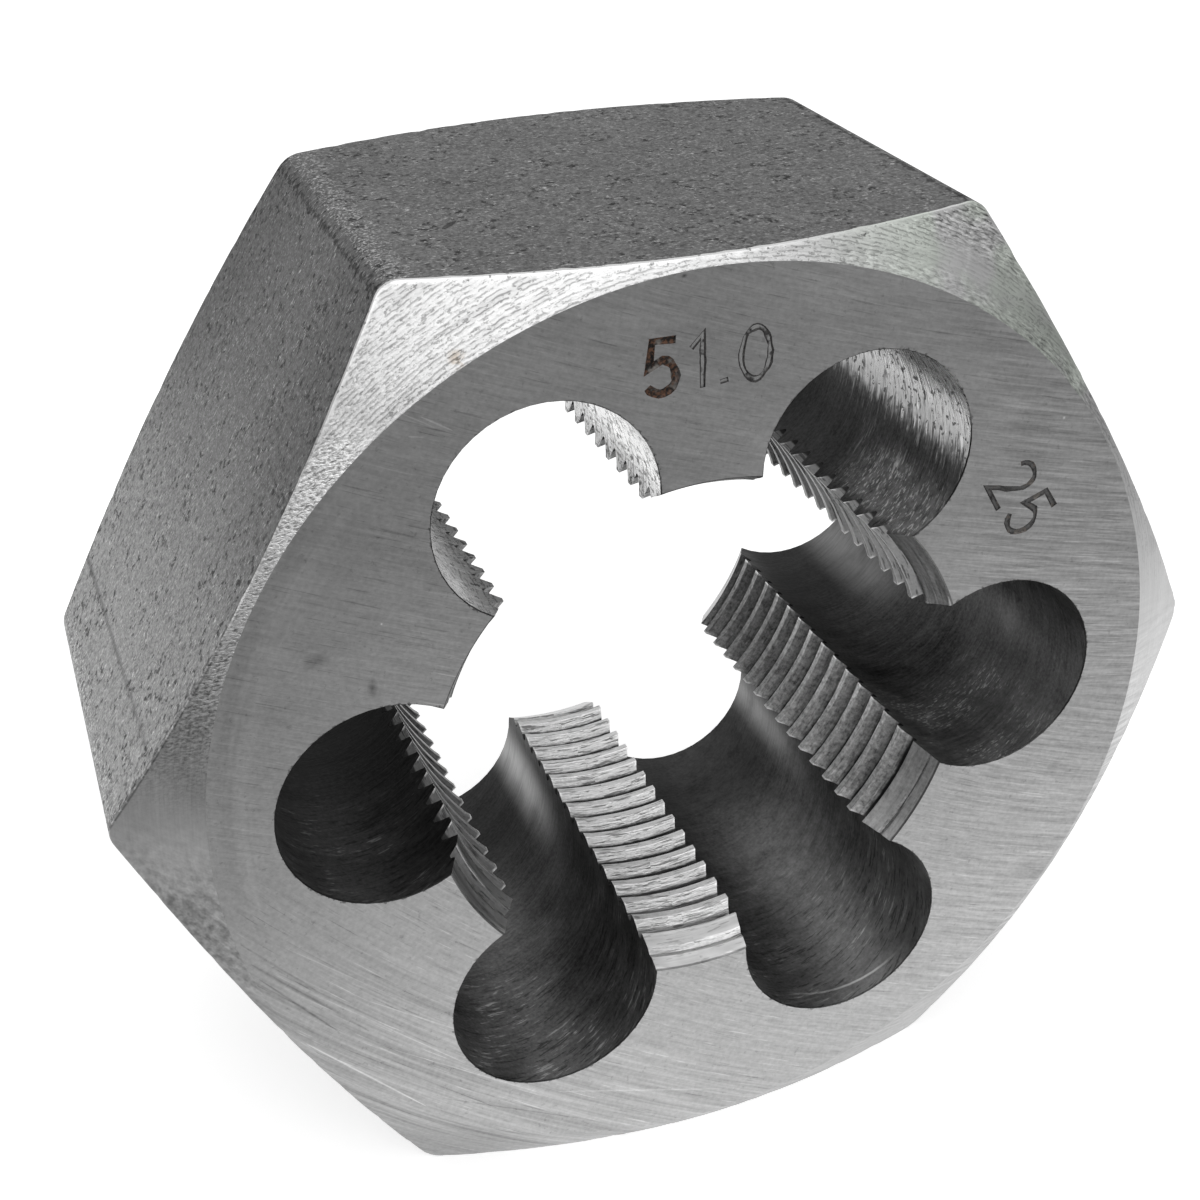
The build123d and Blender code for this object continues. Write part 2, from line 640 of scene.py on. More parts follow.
def die_mesh(materials):
    """The whole die as one closed mesh."""
    mesh = threaded_wall(materials)
    slots = {}
    for name, material in materials.items():
        if material.name not in mesh.materials:
            mesh.materials.append(material)
        slots[name] = mesh.materials.find(material.name)
    slots["burr"] = slots["chamfer"]
    bm = bmesh.new()
    bm.from_mesh(mesh)
    for f in bm.faces:
        f.smooth = True
    rings = []
    for places, finish in outside_rings():
        rings.append(([bm.verts.new((p.x, d - half_depth, p.y)) for p, d in places], finish))
    for (ring, finish), (following, _) in zip(rings, rings[1:]):
        count = len(ring)
        for i in range(count):
            j = (i + 1) % count
            skin = bm.faces.new((ring[i], ring[j], following[j], following[i]))
            skin.material_index = slots[finish]
            skin.smooth = True
    strokes = []
    for text, centre, turn, widths in numbers:
        strokes += engraved_number(text, centre, number_height, turn, widths)
    fill_face(bm, rings[0][0], boundary_loop(bm, -half_depth), -half_depth, slots["face"],
              slots["strokes"], strokes)
    fill_face(bm, rings[-1][0], boundary_loop(bm, half_depth), half_depth, slots["face"])
    bmesh.ops.dissolve_degenerate(bm, dist=1e-8, edges=bm.edges)
    bmesh.ops.recalc_face_normals(bm, faces=bm.faces)
    for e in bm.edges:
        e.smooth = e.is_manifold and e.calc_face_angle(math.pi) < sharp_angle
    bm.to_mesh(mesh)
    bm.free()
    mesh.name = "hex_die_body"
    return mesh


# Finishes. Patterns are measured in millimetres on the die's own coordinates.

# Usual distances from the axis, which turn an angle into a length round it
thread_reach, cone_reach, rim_reach, chamfer_reach = 13.5, 14.0, 24.0, 26.0


def place_values(tree, _):
    """Where a point lies on the die: its distances from the forms that the tools left."""
    metres = values_of(add(tree, "ShaderNodeTexCoord"))["Object"]
    place = vector_calc("MULTIPLY", metres, (1 / mm, 1 / mm, 1 / mm))
    x, y, z = separate(place)
    reach = hypotenuse(x, z)
    around = calc("ARCTAN2", x, z)
    below = half_depth / mm - abs(y)
    flat_angle = around - calc("ROUND", around / sector) * sector
    chamfer_depth = (reach - face_radius / mm) * chamfer_slope
    corner_angle = sector / 2 - abs(flat_angle)
    hole_out = reach * calc("COSINE", corner_angle) - hole_circle / mm
    hole_aside = reach * calc("SINE", corner_angle)
    return {
        "Place": place,
        "Reach": reach,
        "Around": around,
        "Below Face": below,
        "Inside Flat": half_flats / mm - reach * calc("COSINE", flat_angle),
        "Past Chamfer": below - chamfer_depth,
        "Beyond Hole": hypotenuse(hole_out, hole_aside) - hole_radius / mm,
        "Along Flat": reach * calc("SINE", flat_angle),
    }


noise_scale = 0.7  # at this scale a grain of the noise is about one unit long


def line_values(_, given):
    """Tool lines: a pattern drawn out along one direction, from 0 to 1."""
    vector = combine(given["Along"] / given["Length"], given["Across"] / given["Width"], given["Seed"])
    pattern = made("ShaderNodeTexNoise", {
        "Vector": vector, "Scale": noise_scale, "Detail": 2.0, "Roughness": 0.6})
    return {"Lines": span(pattern, 0.3, 0.7, smooth=False)}


def grit_values(_, given):
    """Even grit, from 0 to 1, whose grains are of one size in millimetres."""
    vector = vector_calc("ADD", given["Place"], combine(given["Seed"], 0.0, 0.0))
    pattern = made("ShaderNodeTexNoise", {
        "Vector": vector, "Scale": noise_scale / given["Size"], "Detail": 2.0, "Roughness": 0.65})
    return {"Grit": span(pattern, 0.28, 0.72, smooth=False)}


def scratch_values(_, given):
    """One straight scratch between two points, as a mask that thins at its ends."""
    way = vector_calc("SUBTRACT", given["End"], given["Start"])
    here = vector_calc("SUBTRACT", given["Place"], given["Start"])
    whole = vector_calc("DOT_PRODUCT", way, way, out="Value")
    share = clamped(vector_calc("DOT_PRODUCT", here, way, out="Value") / whole)
    nearest = made("ShaderNodeVectorMath", {0: way, "Scale": share}, operation="SCALE")
    away = reach_of(vector_calc("SUBTRACT", here, nearest))
    taper = (4.0 * (share * (1 - share))) ** 0.4
    return {"Mask": clamped(1 - away / largest(given["Width"] * taper, 0.005))}


def wear_values(_, given):
    """A worn band along an edge, broken by grit: 1 on the edge, 0 past the band."""
    worn = clamped(1 - abs(given["Distance"]) / (given["Width"] * (0.5 + given["Grit"])))
    return {"Worn": worn ** 0.6}


origin = (0.0, 0.0, 0.0)
groups = {
    "place": new_group("Place on the die", {}, place_values),
    "lines": new_group("Tool lines", {
        "Along": 0.0, "Across": 0.0, "Length": 5.0, "Width": 0.2, "Seed": 0.0}, line_values),
    "grit": new_group("Grit", {"Place": origin, "Size": 0.3, "Seed": 0.0}, grit_values),
    "scratch": new_group("Scratch", {
        "Place": origin, "Start": origin, "End": (1.0, 0.0, 0.0), "Width": 0.1}, scratch_values),
    "wear": new_group("Edge wear", {"Distance": 0.0, "Width": 0.2, "Grit": 0.5}, wear_values),
}


def use(group, feeds):
    """Places a shared group in the material of the values that feed it, and gives its outputs."""
    return values_of(fed("ShaderNodeGroup", feeds, node_tree=groups[group]))


def lines(along, across, length, width, seed=0.0):
    feeds = {"Along": along, "Across": across, "Length": length, "Width": width, "Seed": seed}
    return use("lines", feeds)["Lines"]


def grit(place, size, seed=0.0):
    return use("grit", {"Place": place, "Size": size, "Seed": seed})["Grit"]


def layered(base, *layers):
    """A base value with patterns, which run from 0 to 1, added about their middle by their amounts."""
    for pattern, amount in layers:
        base = calc("MULTIPLY_ADD", pattern - 0.5, amount, base)
    return base


# The surface grinder left wide arcs about one far centre, and a last pass, over the lower half,
# about a nearer one.
wheel_x, wheel_z, wheel_reach = 68.0, 205.0, 210.0
pass_x, pass_z, pass_reach = 42.0, 54.0, 85.0


def grinding_values(_, given):
    """Arcs of the surface grinder's wheel, each from 0 to 1, and how strongly they show."""
    x, y, z = separate(given["Place"])
    back = 17.0 * (y > 0.0)

    def turned_about(cx, cz, usual_reach):
        """Arc length round a wheel's centre, and distance from it."""
        across, up = x - cx, z - cz
        return usual_reach * calc("ARCTAN2", across, up), hypotenuse(across, up)

    sweep, far = turned_about(wheel_x, wheel_z, wheel_reach)
    fine = lines(sweep, far, 0.9, 0.085, back)
    medium = lines(sweep, far, 3.4, 0.2, back + 3.0)
    broad = lines(sweep, far, 26.0, 1.9, back + 6.0)
    hairs = lines(sweep, far, 2.2, 0.07, back + 21.0)

    # The last pass left its own lines, which are long and strong at the lower left
    sweep, far = turned_about(pass_x, pass_z, pass_reach)
    lower = span(z, -0.5, -4.5)
    band = span(far, 82.0, 88.0) * span(z, -3.0, -10.0) * span(x, 10.0, 2.0)
    low_fine = lines(sweep, far, 0.9, 0.085, back + 24.0)
    low_medium = lines(sweep, far, 5.0, 0.2, back + 27.0)
    arcs = lines(sweep, far, 4.0, 0.11, back + 9.0)
    wide_arcs = lines(sweep, far, 8.0, 0.19, back + 12.0)
    fine = mixed(lower, fine, mixed(band, low_fine, arcs))
    medium = mixed(lower, medium, mixed(band, low_medium, wide_arcs))
    hairs = mixed(lower, hairs, lines(sweep, far, 2.2, 0.07, back + 30.0))
    strong = largest(band * 0.2, span(z, 6.0, -12.0, 0.04, 0.1), span(x, 11.0, 17.0) * 0.21)
    return {"Fine": fine, "Medium": medium, "Broad": broad, "Hairs": hairs, "Strong": strong}


groups["grinding"] = new_group("Grinding arcs", {"Place": origin}, grinding_values)


def steel(name, metallic=1.0):
    """A steel material, the values of its place on the die, and the place whole and as x, y and z."""
    material = bpy.data.materials.new(name)
    material.use_nodes = True
    material.node_tree.nodes["Principled BSDF"].inputs["Metallic"].default_value = metallic
    at = values_of(add(material.node_tree, "ShaderNodeGroup", node_tree=groups["place"]))
    return material, at, at["Place"], *separate(at["Place"])


def finished(material, shade, rough, height, depth):
    """The material with its colour, its roughness and fine relief of a given depth in metres."""
    tree = material.node_tree
    bump = add(tree, "ShaderNodeBump", {"Height": height, "Strength": 1.0, "Distance": depth})
    shader = tree.nodes["Principled BSDF"]
    feed(shader.inputs["Base Color"], shade)
    feed(shader.inputs["Roughness"], rough)
    feed(shader.inputs["Normal"], bump)
    return material


face_scratches = (
    # start and end as (x, z) on the front face, width, and how much lighter or darker
    ((-23.6, -7.4), (-18.1, -13.3), 0.16, -0.15),
    ((-23.3, -8.4), (-19.6, -12.9), 0.09, -0.17),
    ((-23.9, -6.2), (-20.6, -9.9), 0.10, -0.12),
    ((-22.4, -8.3), (-14.6, -15.5), 0.10, -0.10),
    ((-21.4, -13.0), (-15.4, -19.2), 0.08, 0.30),
    ((-18.0, -11.4), (-11.4, -16.2), 0.06, 0.16),
    ((-20.2, -10.6), (-13.2, -17.0), 0.06, 0.14),
    ((-19.2, -14.2), (-11.6, -20.6), 0.07, -0.13),
    ((-16.9, -14.9), (-9.4, -20.2), 0.05, 0.15),
    ((-14.6, -18.9), (-6.8, -23.0), 0.06, -0.12),
    ((-21.9, -6.9), (-16.6, -11.6), 0.05, 0.12),
    ((-8.2, -20.6), (1.4, -23.6), 0.08, 0.12),
    ((5.2, -17.6), (11.8, -19.9), 0.07, -0.12),
    ((14.4, -1.9), (21.8, -4.3), 0.05, 0.14),
    ((-13.9, 19.95), (-12.5, 19.05), 0.07, 0.22),
    ((-15.0, 20.4), (-13.4, 19.4), 0.05, 0.14),
    ((-14.5, 19.1), (-13.8, 18.95), 0.06, 0.16),
)
face_spots = (
    # centre as (x, z) on the front face, reach across and up, and how much lighter or darker
    ((-19.3, 8.7), (0.75, 0.5), -0.2),
    ((-16.8, 6.7), (0.3, 0.6), -0.26),
    ((-16.2, 10.0), (0.07, 0.07), 0.5),
    ((18.9, 14.4), (0.1, 0.1), 0.6),
    ((-1.6, 24.75), (0.16, 0.12), -0.35),
    ((12.0, -13.6), (0.5, 0.16), 0.2),
)


def ground_face():
    """Ground steel: fine arcs of the grinder's wheel, coarser and crossed at the lower left."""
    material, at, place, x, y, z = steel("Ground end face")
    fine, medium, broad, hairs, strong = use("grinding", {"Place": place}).values()
    # Faint turned rings along the rim at the left
    rings = lines(rim_reach * at["Around"], at["Reach"], 12.0, 0.4, 15.0)
    rim = span(at["Reach"], 21.8, 23.5) * span(x, -14.0, -20.0) * span(z, -14.0, -8.0)

    cloud = grit(place, 4.0, 2.0)
    grain = grit(place, 0.16, 7.0)
    smooth_left = span(x, -13.0, -17.0) * span(z, -12.0, -6.0)
    fine_amount = 0.09 - 0.04 * smooth_left
    shade = layered(0.46, (fine, fine_amount), (grain, 0.09), (broad, 0.025), (cloud, 0.04))
    bright_hairs = span(hairs, 0.84, 1.0) * span(z, 12.0, 4.0, 0.07, 0.17) * (1 - 0.6 * smooth_left)
    shade += bright_hairs
    shade -= 0.12 * span(hairs, 0.16, 0.0)
    shade += (medium - 0.5) * strong
    shade += (rings - 0.5) * (rim * 0.09)
    specks = span(grit(place, 0.22, 5.0), 0.86, 0.97)
    shade -= 0.08 * specks
    # Painted light: the face is lighter towards the upper right
    painted_light_right_up = span(x, -3.0, 8.0) * span(z, -4.0, 4.0)
    shade += 0.07 * painted_light_right_up

    # The chip holes' rims are nicked and burred
    rim_grit = grit(place, 0.2, 31.0)
    rim_line = at["Beyond Hole"] + 0.3 * (rim_grit - 0.5)
    nicked = span(rim_line, 0.06, -0.04) * span(at["Reach"], 14.0, 14.4)
    shade *= 1 - 0.6 * nicked
    on_front = y < 0.0
    flat_place = combine(x, 0.0, z)
    marks = 0.0
    for (x0, z0), (x1, z1), width, amount in face_scratches:
        scratch = use("scratch", {
            "Place": flat_place, "Start": (x0, 0, z0), "End": (x1, 0, z1), "Width": width})
        marks += scratch["Mask"] * amount
    for (cx, cz), (wide, high), amount in face_spots:
        away = reach_of(combine((x - cx) / wide, 0.0, (z - cz) / high))
        marks += clamped(1 - away) * amount
    shade += marks * on_front
    rough = layered(0.38, (medium, 0.1), (cloud, 0.06))
    height = layered(0.5, (fine, 0.5), (medium, 6.0 * strong), (grain, 0.3))
    return finished(material, shade, rough, height, 0.006 * mm)


feed_step = 0.19  # the turning tool's feed, as the torn ridges on the chamfer show it


def turned_chamfer():
    """Turned steel: a torn feed at the top corners, and a burr along the flats with its highlight painted
    bright.
    """
    material, at, place, x, _, z = steel("Turned chamfer")
    sweep = chamfer_reach * at["Around"]
    wobble = grit(place, 0.4, 3.0)
    drift = grit(place, 3.0, 5.0)
    across = at["Reach"] + 0.16 * drift + 0.07 * wobble
    ridges = calc("SINE", across * (2 * math.pi / feed_step))
    breaks = lines(sweep, across, 0.3, 0.14, 1.0)
    grooves = span(ridges, 0.1, 1.0) * span(breaks, 0.3, 0.62)
    tears = lines(sweep, across, 0.17, 0.08, 2.0)
    feed_lines = lines(sweep, across, 6.0, 0.45, 4.0)
    fine = lines(sweep, at["Reach"], 2.0, 0.1, 7.0)
    rings = lines(sweep, at["Reach"], 12.0, 0.4, 15.0)
    cloud = grit(place, 3.0, 8.0)
    low_left = span(z, 6.0, -4.0) * span(x, -2.0, -14.0)
    # Painted light and shade set the base tone by region: lighter low at the left and along the upper left,
    # darker lower down and at the bottom left
    base = mixed(low_left, mixed(span(z, 0.0, -14.0), 0.65, 0.46), 0.98)
    base = mixed(low_left * span(z, 1.0, -6.0), base, 0.54)
    base = mixed(low_left * span(z, -13.0, -19.0), base, 0.44)
    bottom_left = span(z, -20.0, -23.0) * span(x, -3.0, -7.0)
    base *= 1 - 0.16 * bottom_left
    low = span(z, 4.0, -4.0)
    lit_upper_left = span(z, 7.0, 12.0) * span(z, 22.0, 14.0) * span(x, -14.0, -18.0)
    base += 0.34 * lit_upper_left
    top_right = span(x, 6.0, 11.0) * span(z, 19.0, 23.0)
    base += 0.12 * top_right
    # The feed is torn most at the top left and at the very corner at the top right
    spent = span(x, 2.0, 7.0) * span(at["Inside Flat"], 0.9, 2.2, 0.0, 0.75)
    corner = span(z, 0.0, 12.0) * span(x, 20.0, 12.0, 0.4, 1.0) * (1 - spent)
    corner = clamped(corner + 0.1 * (1 - low))
    # Down the left the torn steel stands in short ripples that cross the feed
    rippled = span(x, -14.5, -17.5) * span(z, 0.0, 11.0) * span(z, 21.0, 17.0)
    ripple_along = x + 0.4 * z
    ripple_across = z - 0.4 * x + 0.12 * wobble
    ripples = lines(ripple_along, ripple_across, 0.17, 0.068, 21.0)
    corner *= 1 - 0.85 * rippled
    # At the top right it is grainy in the very corner and along the face
    grainy = largest(span(at["Reach"], 26.4, 28.0), span(at["Reach"], 26.2, 25.4, 0.0, 0.6))
    grainy *= span(x, 4.0, 9.0) * span(z, 12.0, 16.0)
    grains = lines(sweep, across, 0.34, 0.085, 23.0)
    valley = span(feed_lines, 0.4, 0.1) * corner
    torn = largest(grooves, span(tears, 0.3, 0.08)) * corner
    # Low down the grinder's arcs run on over the chamfer, and the rest is mottled as if etched
    arcs = use("grinding", {"Place": place})
    grain = grit(place, 0.16, 17.0)
    mottle = (grit(place, 0.34, 19.0) - 0.5) * low_left * span(z, -13.0, -5.0)
    ground_depth = arcs["Strong"] * 1.2 * span(at["Reach"], 27.0, 25.9, 0.3, 1.0)
    ground = 0.5 * mottle + (arcs["Medium"] - 0.5) * ground_depth
    ground = layered(ground, (arcs["Fine"], 0.09), (grain, 0.09))
    shade = layered(base, (fine, 0.06), (cloud, 0.07), (rings, 0.05))
    shade += ground * low
    shade -= 0.09 * valley
    shade -= 0.3 * torn
    shade = layered(shade, (ripples, 1.2 * rippled), (grains, 0.85 * grainy))
    edge_grit = grit(place, 0.3, 9.0)
    # A burr along the flats, its highlight painted pale
    burr = use("wear", {"Distance": at["Inside Flat"], "Width": 0.2, "Grit": edge_grit})["Worn"]
    burr *= corner
    shade = mixed(burr, shade, 0.78)
    pits = span(grit(place, 0.26, 11.0), 0.8, 0.93)
    near_edge = span(at["Inside Flat"], 0.7, 0.05)
    shade -= 0.4 * (pits * near_edge * corner)
    dent = reach_of(combine(x - 19.7, 0.0, z - 16.3))
    dent = span(dent + 0.4 * edge_grit, 0.9, 0.5)
    shade += 0.22 * dent
    rusted = reach_of(combine(x + 12.1, 0.0, z - 22.3))
    rusted = span(rusted, 0.55, 0.1) * span(edge_grit, 0.3, 0.7)
    shade -= 0.16 * rusted
    # Painted shade darkens the broken edge along the left flat low down, so that it is lit only here and
    # there
    painted_shade_edge_line = (span(x, -14.0, -17.0) * span(z, 13.0, 7.0) * span(z, -0.6, 0.3)
                 * span(at["Inside Flat"], 0.16, 0.07) * span(edge_grit, 0.72, 0.55, 0.2, 1.0))
    shade *= 1 - 0.55 * painted_shade_edge_line
    green = span(x, 3.0, 12.0) * span(z, 12.0, 17.0) * span(cloud, 0.2, 0.6)
    hue = combine(1 - 0.055 * green, 1 - 0.1 * rusted, 1 - 0.2 * rusted - 0.07 * green)
    rough = layered(0.42, (cloud, 0.08), (fine, 0.06))
    height = layered(0.5, (ridges, 0.25), (tears, 0.4), (fine, 0.2)) * corner
    height = layered(height, (ripples, rippled), (grains, grainy))
    height *= 1 - 0.8 * burr
    return finished(material, vector_calc("MULTIPLY", shade, hue), rough, height, 0.016 * mm)


draw_mark = -10.3  # an old drawing mark on the left flat, from that flat's middle
draw_slant = -0.037  # how far it strays for each millimetre of depth


def scaled_flat():
    """The bar's own dark skin: gritty scale with rubbed specks, broken along the long corners."""
    material, at, place, x, y, z = steel("Dark scaled flats", metallic=0.75)
    fine = grit(place, 0.1, 1.0)
    middle = grit(place, 0.26, 2.0)
    patches = grit(place, 1.1, 6.0)
    cloud = grit(place, 4.5, 3.0)
    streaks = lines(at["Along Flat"], y, 0.24, 0.075, 4.0)
    cross_streaks = lines(y, at["Along Flat"], 0.24, 0.075, 8.0)
    streaks = largest(streaks, cross_streaks - 0.12)
    rubbed = span(streaks, 0.74, 1.0) * (patches + 0.3)
    left = span(at["Around"], math.radians(-29), math.radians(-31))
    low_left = span(at["Around"], math.radians(-38), math.radians(-88))
    base = mixed(low_left, 0.19, 0.4)
    shade = base * layered(1.0, (fine, 0.95), (middle, 0.5), (cloud, 0.25))
    shade += 0.46 * rubbed

    # Pits gather in patches, most of all towards the front edge of the left flat
    front_edge = left * span(at["Past Chamfer"], 9.0, 1.0)
    gather = clamped(span(patches, 0.4, 0.75) + 0.5 * front_edge)
    pits = span(middle, 0.38, 0.18) * gather
    shade *= 1 - 0.78 * pits
    lip = at["Past Chamfer"] + 0.5 * middle
    lipped = left * span(lip, 0.6, 0.3) * span(z, -2.0, -6.0, 1.0, 0.6)
    shade *= 1 - 0.5 * lipped
    upper = front_edge * span(at["Around"], math.radians(-72), math.radians(-48))
    shade *= 1 - 0.22 * upper

    # Along a long corner the scale is broken: a dark seam on one side, bright specks on the other
    jitter = 0.6 * (middle - 0.5)
    corner_line = abs(at["Along Flat"] - 14.05)
    seam = span(corner_line + jitter, 0.22, 0.0)
    beside = span(at["Along Flat"] + jitter, -12.6, -14.0)
    specks = beside * span(fine, 0.58, 0.8)
    shade += 0.3 * specks
    shade *= 1 - 0.6 * seam
    mark_line = draw_mark + draw_slant * y + 0.25 * jitter
    drawn = abs(at["Along Flat"] - mark_line)
    drawn = span(drawn, 0.26, 0.05) * left * span(y, -11.6, -10.4) * span(y, -7.0, 0.0, 0.75, 1.0)
    shade *= 1 - 0.38 * drawn
    nick = use("scratch", {
        "Place": combine(x, y, 0.0), "Start": (-10.35, -4.55, 0), "End": (-9.5, -3.65, 0), "Width": 0.2})
    nick = span(nick["Mask"], 0.0, 0.5) * (z > 25.0)
    shade *= 1 - 0.65 * nick
    rough = layered(0.56, (fine, 0.16), (cloud, 0.1))
    height = layered(0.5, (fine, 0.6), (middle, 0.8), (nick, -1.5), (seam, -0.8))
    return finished(material, largest(shade, 0.02), rough, height, 0.03 * mm)


floor_reflection_patches = (
    # where painted reflection makes a chip hole's wall pale towards the back: x, z, reach and how much
    (-3.1, -16.0, 2.0, 0.5),
    (13.5, -15.4, 1.7, 0.28),
    (19.7, -4.6, 2.8, 0.32),
)


def drilled_wall():
    """Drilled chip-hole wall: dark, oiled and smooth, with curved feed marks and torn pits."""
    material, at, place, x, y, z = steel("Drilled chip-hole wall")
    attribute = add(material.node_tree, "ShaderNodeAttribute", attribute_name="around_hole")
    arc = values_of(attribute)["Fac"]
    feed_mark = y + 0.3 * arc
    fine = lines(arc, feed_mark, 1.6, 0.12, 1.0)
    feeds = lines(arc, feed_mark, 4.0, 0.6, 2.0)
    cloud = grit(place, 2.2, 3.0)
    grain = grit(place, 0.14, 6.0)
    flecks = lines(arc, feed_mark, 0.7, 0.11, 5.0)
    worn = grit(place, 0.5, 14.0)
    dashes = span(lines(arc, feed_mark, 0.28, 0.09, 16.0), 0.64, 0.9)
    to_front = span(y, 1.0, -8.0)
    clouded = span(cloud, 0.35, 0.8)
    # The wall at the far right is smooth and clouded above, and flecked below
    right_wall = span(abs(z), 7.0, 6.0) * span(x, 9.0, 10.0)
    flecked = right_wall * span(z, -3.0, -4.4) * span(y, -3.0, -7.0)
    quiet = right_wall * span(z, -4.6, -3.2)
    to_front *= (1 - quiet) * (1 - 0.6 * flecked)
    bright = span(flecks, 0.7, 0.97) * clouded * to_front
    bright += flecked * clouded * dashes
    dark_flecks = span(flecks, 0.3, 0.1) * to_front

    # Torn along the drill's way where the walls face the floor, and painted pale there as a reflection of
    # the floor; painted pale at both mouths as painted light
    lit_upper_left = span(x, 2.0, -1.0) * span(z, 5.0, 9.0)
    torn_line = z + 1.4 * (flecks - 0.5)
    lit_upper_right = span(torn_line, 12.2, 13.6)
    upper = largest(lit_upper_right, lit_upper_left)
    glints = span(x, 10.0, 10.8) * span(z, 7.6, 9.0) * span(z, 11.8, 10.3) * span(y, -3.5, -7.5)
    gritty = 0.42 * dashes + 0.15 * worn
    axial = lines(y, arc + 0.1 * grain, 0.6, 0.1, 7.0)
    torn = largest(span(axial, 0.46, 0.16) * lit_upper_left, span(flecks, 0.34, 0.12) * lit_upper_right)
    pits = span(grit(place, 0.3, 12.0), 0.7, 0.8) * upper
    # Painted reflection: pale patches on the walls towards the back
    patches = 0.0
    for cx, cz, wide, amount in floor_reflection_patches:
        away = reach_of(combine(x - cx, 0.0, z - cz))
        patches = largest(span(away, wide, 0.0, 0.0, amount), patches)
    patches *= span(y, 1.0, 7.0) * span(fine, -1.6, 1.0) * span(cloud, -0.6, 0.7)
    dull = span(x, -8.0, -11.0) * span(z, -8.5, -6.5)
    shade = layered(0.15, (fine, 0.07), (feeds, 0.05), (cloud, 0.1), (grain, 0.1))
    low_right = span(x, 4.0, 9.0) * span(z, -8.0, -12.0)
    mottled = span(y, 0.0, -8.0, 0.08, 0.15) + 0.1 * (worn - 0.5)
    shade += low_right * mottled
    shade += 0.09 * flecked
    smudge = reach_of(combine(x - 21.5, 0.4 * (y + 5.4), z + 1.6))
    smudge = span(smudge + 1.4 * cloud, 2.3, 0.6)
    shade += 0.1 * smudge
    low_left = span(x, 3.0, 0.0) * span(z, -8.0, -12.0)
    shade += 0.03 * low_left
    # Painted light: paler near both mouths
    shade += 0.04 * span(at["Below Face"], 5.0, 0.0)
    shade += 0.42 * bright
    # Painted shade: darker towards the back of the holes
    shade *= span(y, -1.0, 8.0, 1.0, 0.25)
    shade *= 1 - 0.5 * dark_flecks
    shaded = span(x, 6.0, 8.0) * span(z, 6.6, 8.2) * span(z, 13.2, 12.2) * (1 - glints)
    shade *= 1 - 0.5 * shaded
    shade += glints * gritty
    score_depth = 0.9 + 0.06 * arc
    scored = abs(at["Below Face"] - score_depth)
    scored = (span(scored, 0.11, 0.03) * low_right * span(arc, -2.5, 0.5) * span(arc, 6.0, 4.0)
              * (y < 0.0))
    shade += 0.5 * scored
    dulled = dull * span(y, 0.0, -8.0, 0.75, 0.5)
    shade *= 1 - dulled
    # Painted reflection of the floor on the upper walls
    shade += 0.34 * lit_upper_left
    shade += lit_upper_right * span(z, 13.5, 16.0, 0.23, 0.74)
    shade += patches
    shade *= 1 - 0.66 * torn
    shade *= 1 - 0.85 * pits
    # Painted shade over the edge break at the mouths
    shade *= span(at["Below Face"], 0.04, 0.1, 0.2, 1.0)
    rough = mixed(upper, 0.52, 0.28)
    rough = layered(rough, (fine, 0.1), (cloud, 0.12))
    height = layered(0.5, (fine, 0.5), (feeds, 0.6), (flecks, 0.7))
    return finished(material, largest(shade, 0.03), rough, height, 0.011 * mm)


def tapped_teeth():
    """Tapped steel: lines torn along the helix, painted shade in the roots, and burrs at the chip holes
    with their glint painted pale.
    """
    material, at, place, x, y, z = steel("Tapped teeth")
    sweep = thread_reach * at["Around"]
    wobble = grit(place, 0.6, 3.0)
    across = y - at["Around"] * (pitch / mm / (2 * math.pi)) + 0.1 * wobble

    def helix_lines(length, width, seed):
        """Tool lines along the helix, as fine down the flanks as across the crests."""
        around_reach = seed + at["Reach"] * (1 / width)
        return lines(sweep, across, length, width, around_reach)

    fine = helix_lines(0.8, 0.08, 1.0)
    torn = span(helix_lines(1.1, 0.1, 4.0), 0.4, 0.12)
    cloud = grit(place, 1.2, 5.0)
    grain = grit(place, 0.13, 8.0)
    right_low = span(x, 5.0, 8.0) * span(z, 1.0, -1.0)
    crest = span(at["Reach"], 13.235, 13.2) * (1 - 0.7 * right_low)
    stipple = grit(place, 0.17, 12.0)
    shade = layered(mixed(crest, 0.5, 0.72), (fine, 0.14), (cloud, 0.12), (grain, 0.12))
    shade = layered(shade, (stipple, 0.5 * right_low))
    # Painted light on the bottom land, which faces up
    shade += 0.09 * span(z, -8.0, -11.0)
    torn *= 1 - 0.6 * right_low
    shade *= 1 - 0.6 * torn
    # Duller on the right land, and darker towards the back there as painted shade
    dull = span(x, 5.0, 8.0) * span(y, -5.0, 8.0, 0.2, 1.0)
    shade *= 1 - 0.5 * dull
    high_right = span(x, 4.0, 7.0) * span(z, 0.0, 3.0)
    shade *= 1 - 0.3 * high_right
    low_left = span(x, -7.0, -9.0) * span(z, 1.0, -1.0)
    shade *= 1 - 0.6 * low_left
    lit_bottom_front = span(z, -8.0, -11.0) * span(y, -6.0, -11.0)
    shade += 0.14 * lit_bottom_front
    root_grit = at["Reach"] + 0.08 * (wobble - 0.5)
    root_line = root_grit - 0.12 * right_low
    # Painted shade in the roots of the teeth
    root_shade = (span(root_line, 13.62, 13.74) * span(at["Below Face"], 1.5, 2.2, 0.25, 1.0)
            * (1 - 0.5 * lit_bottom_front))
    shade = mixed(root_shade, shade, 0.05)
    # Burrs at the chip holes, their glint painted pale
    burr = use("wear", {"Distance": at["Beyond Hole"], "Width": 0.12, "Grit": grain})["Worn"]
    burr *= span(root_grit, 13.5, 13.3)
    shade = mixed(burr, shade, 0.85)
    rough = layered(0.44, (fine, 0.12), (cloud, 0.1))
    height = layered(0.5, (fine, 0.8), (grain, 0.4), (torn, -0.6))
    return finished(material, largest(shade, 0.03), rough, height, 0.012 * mm)


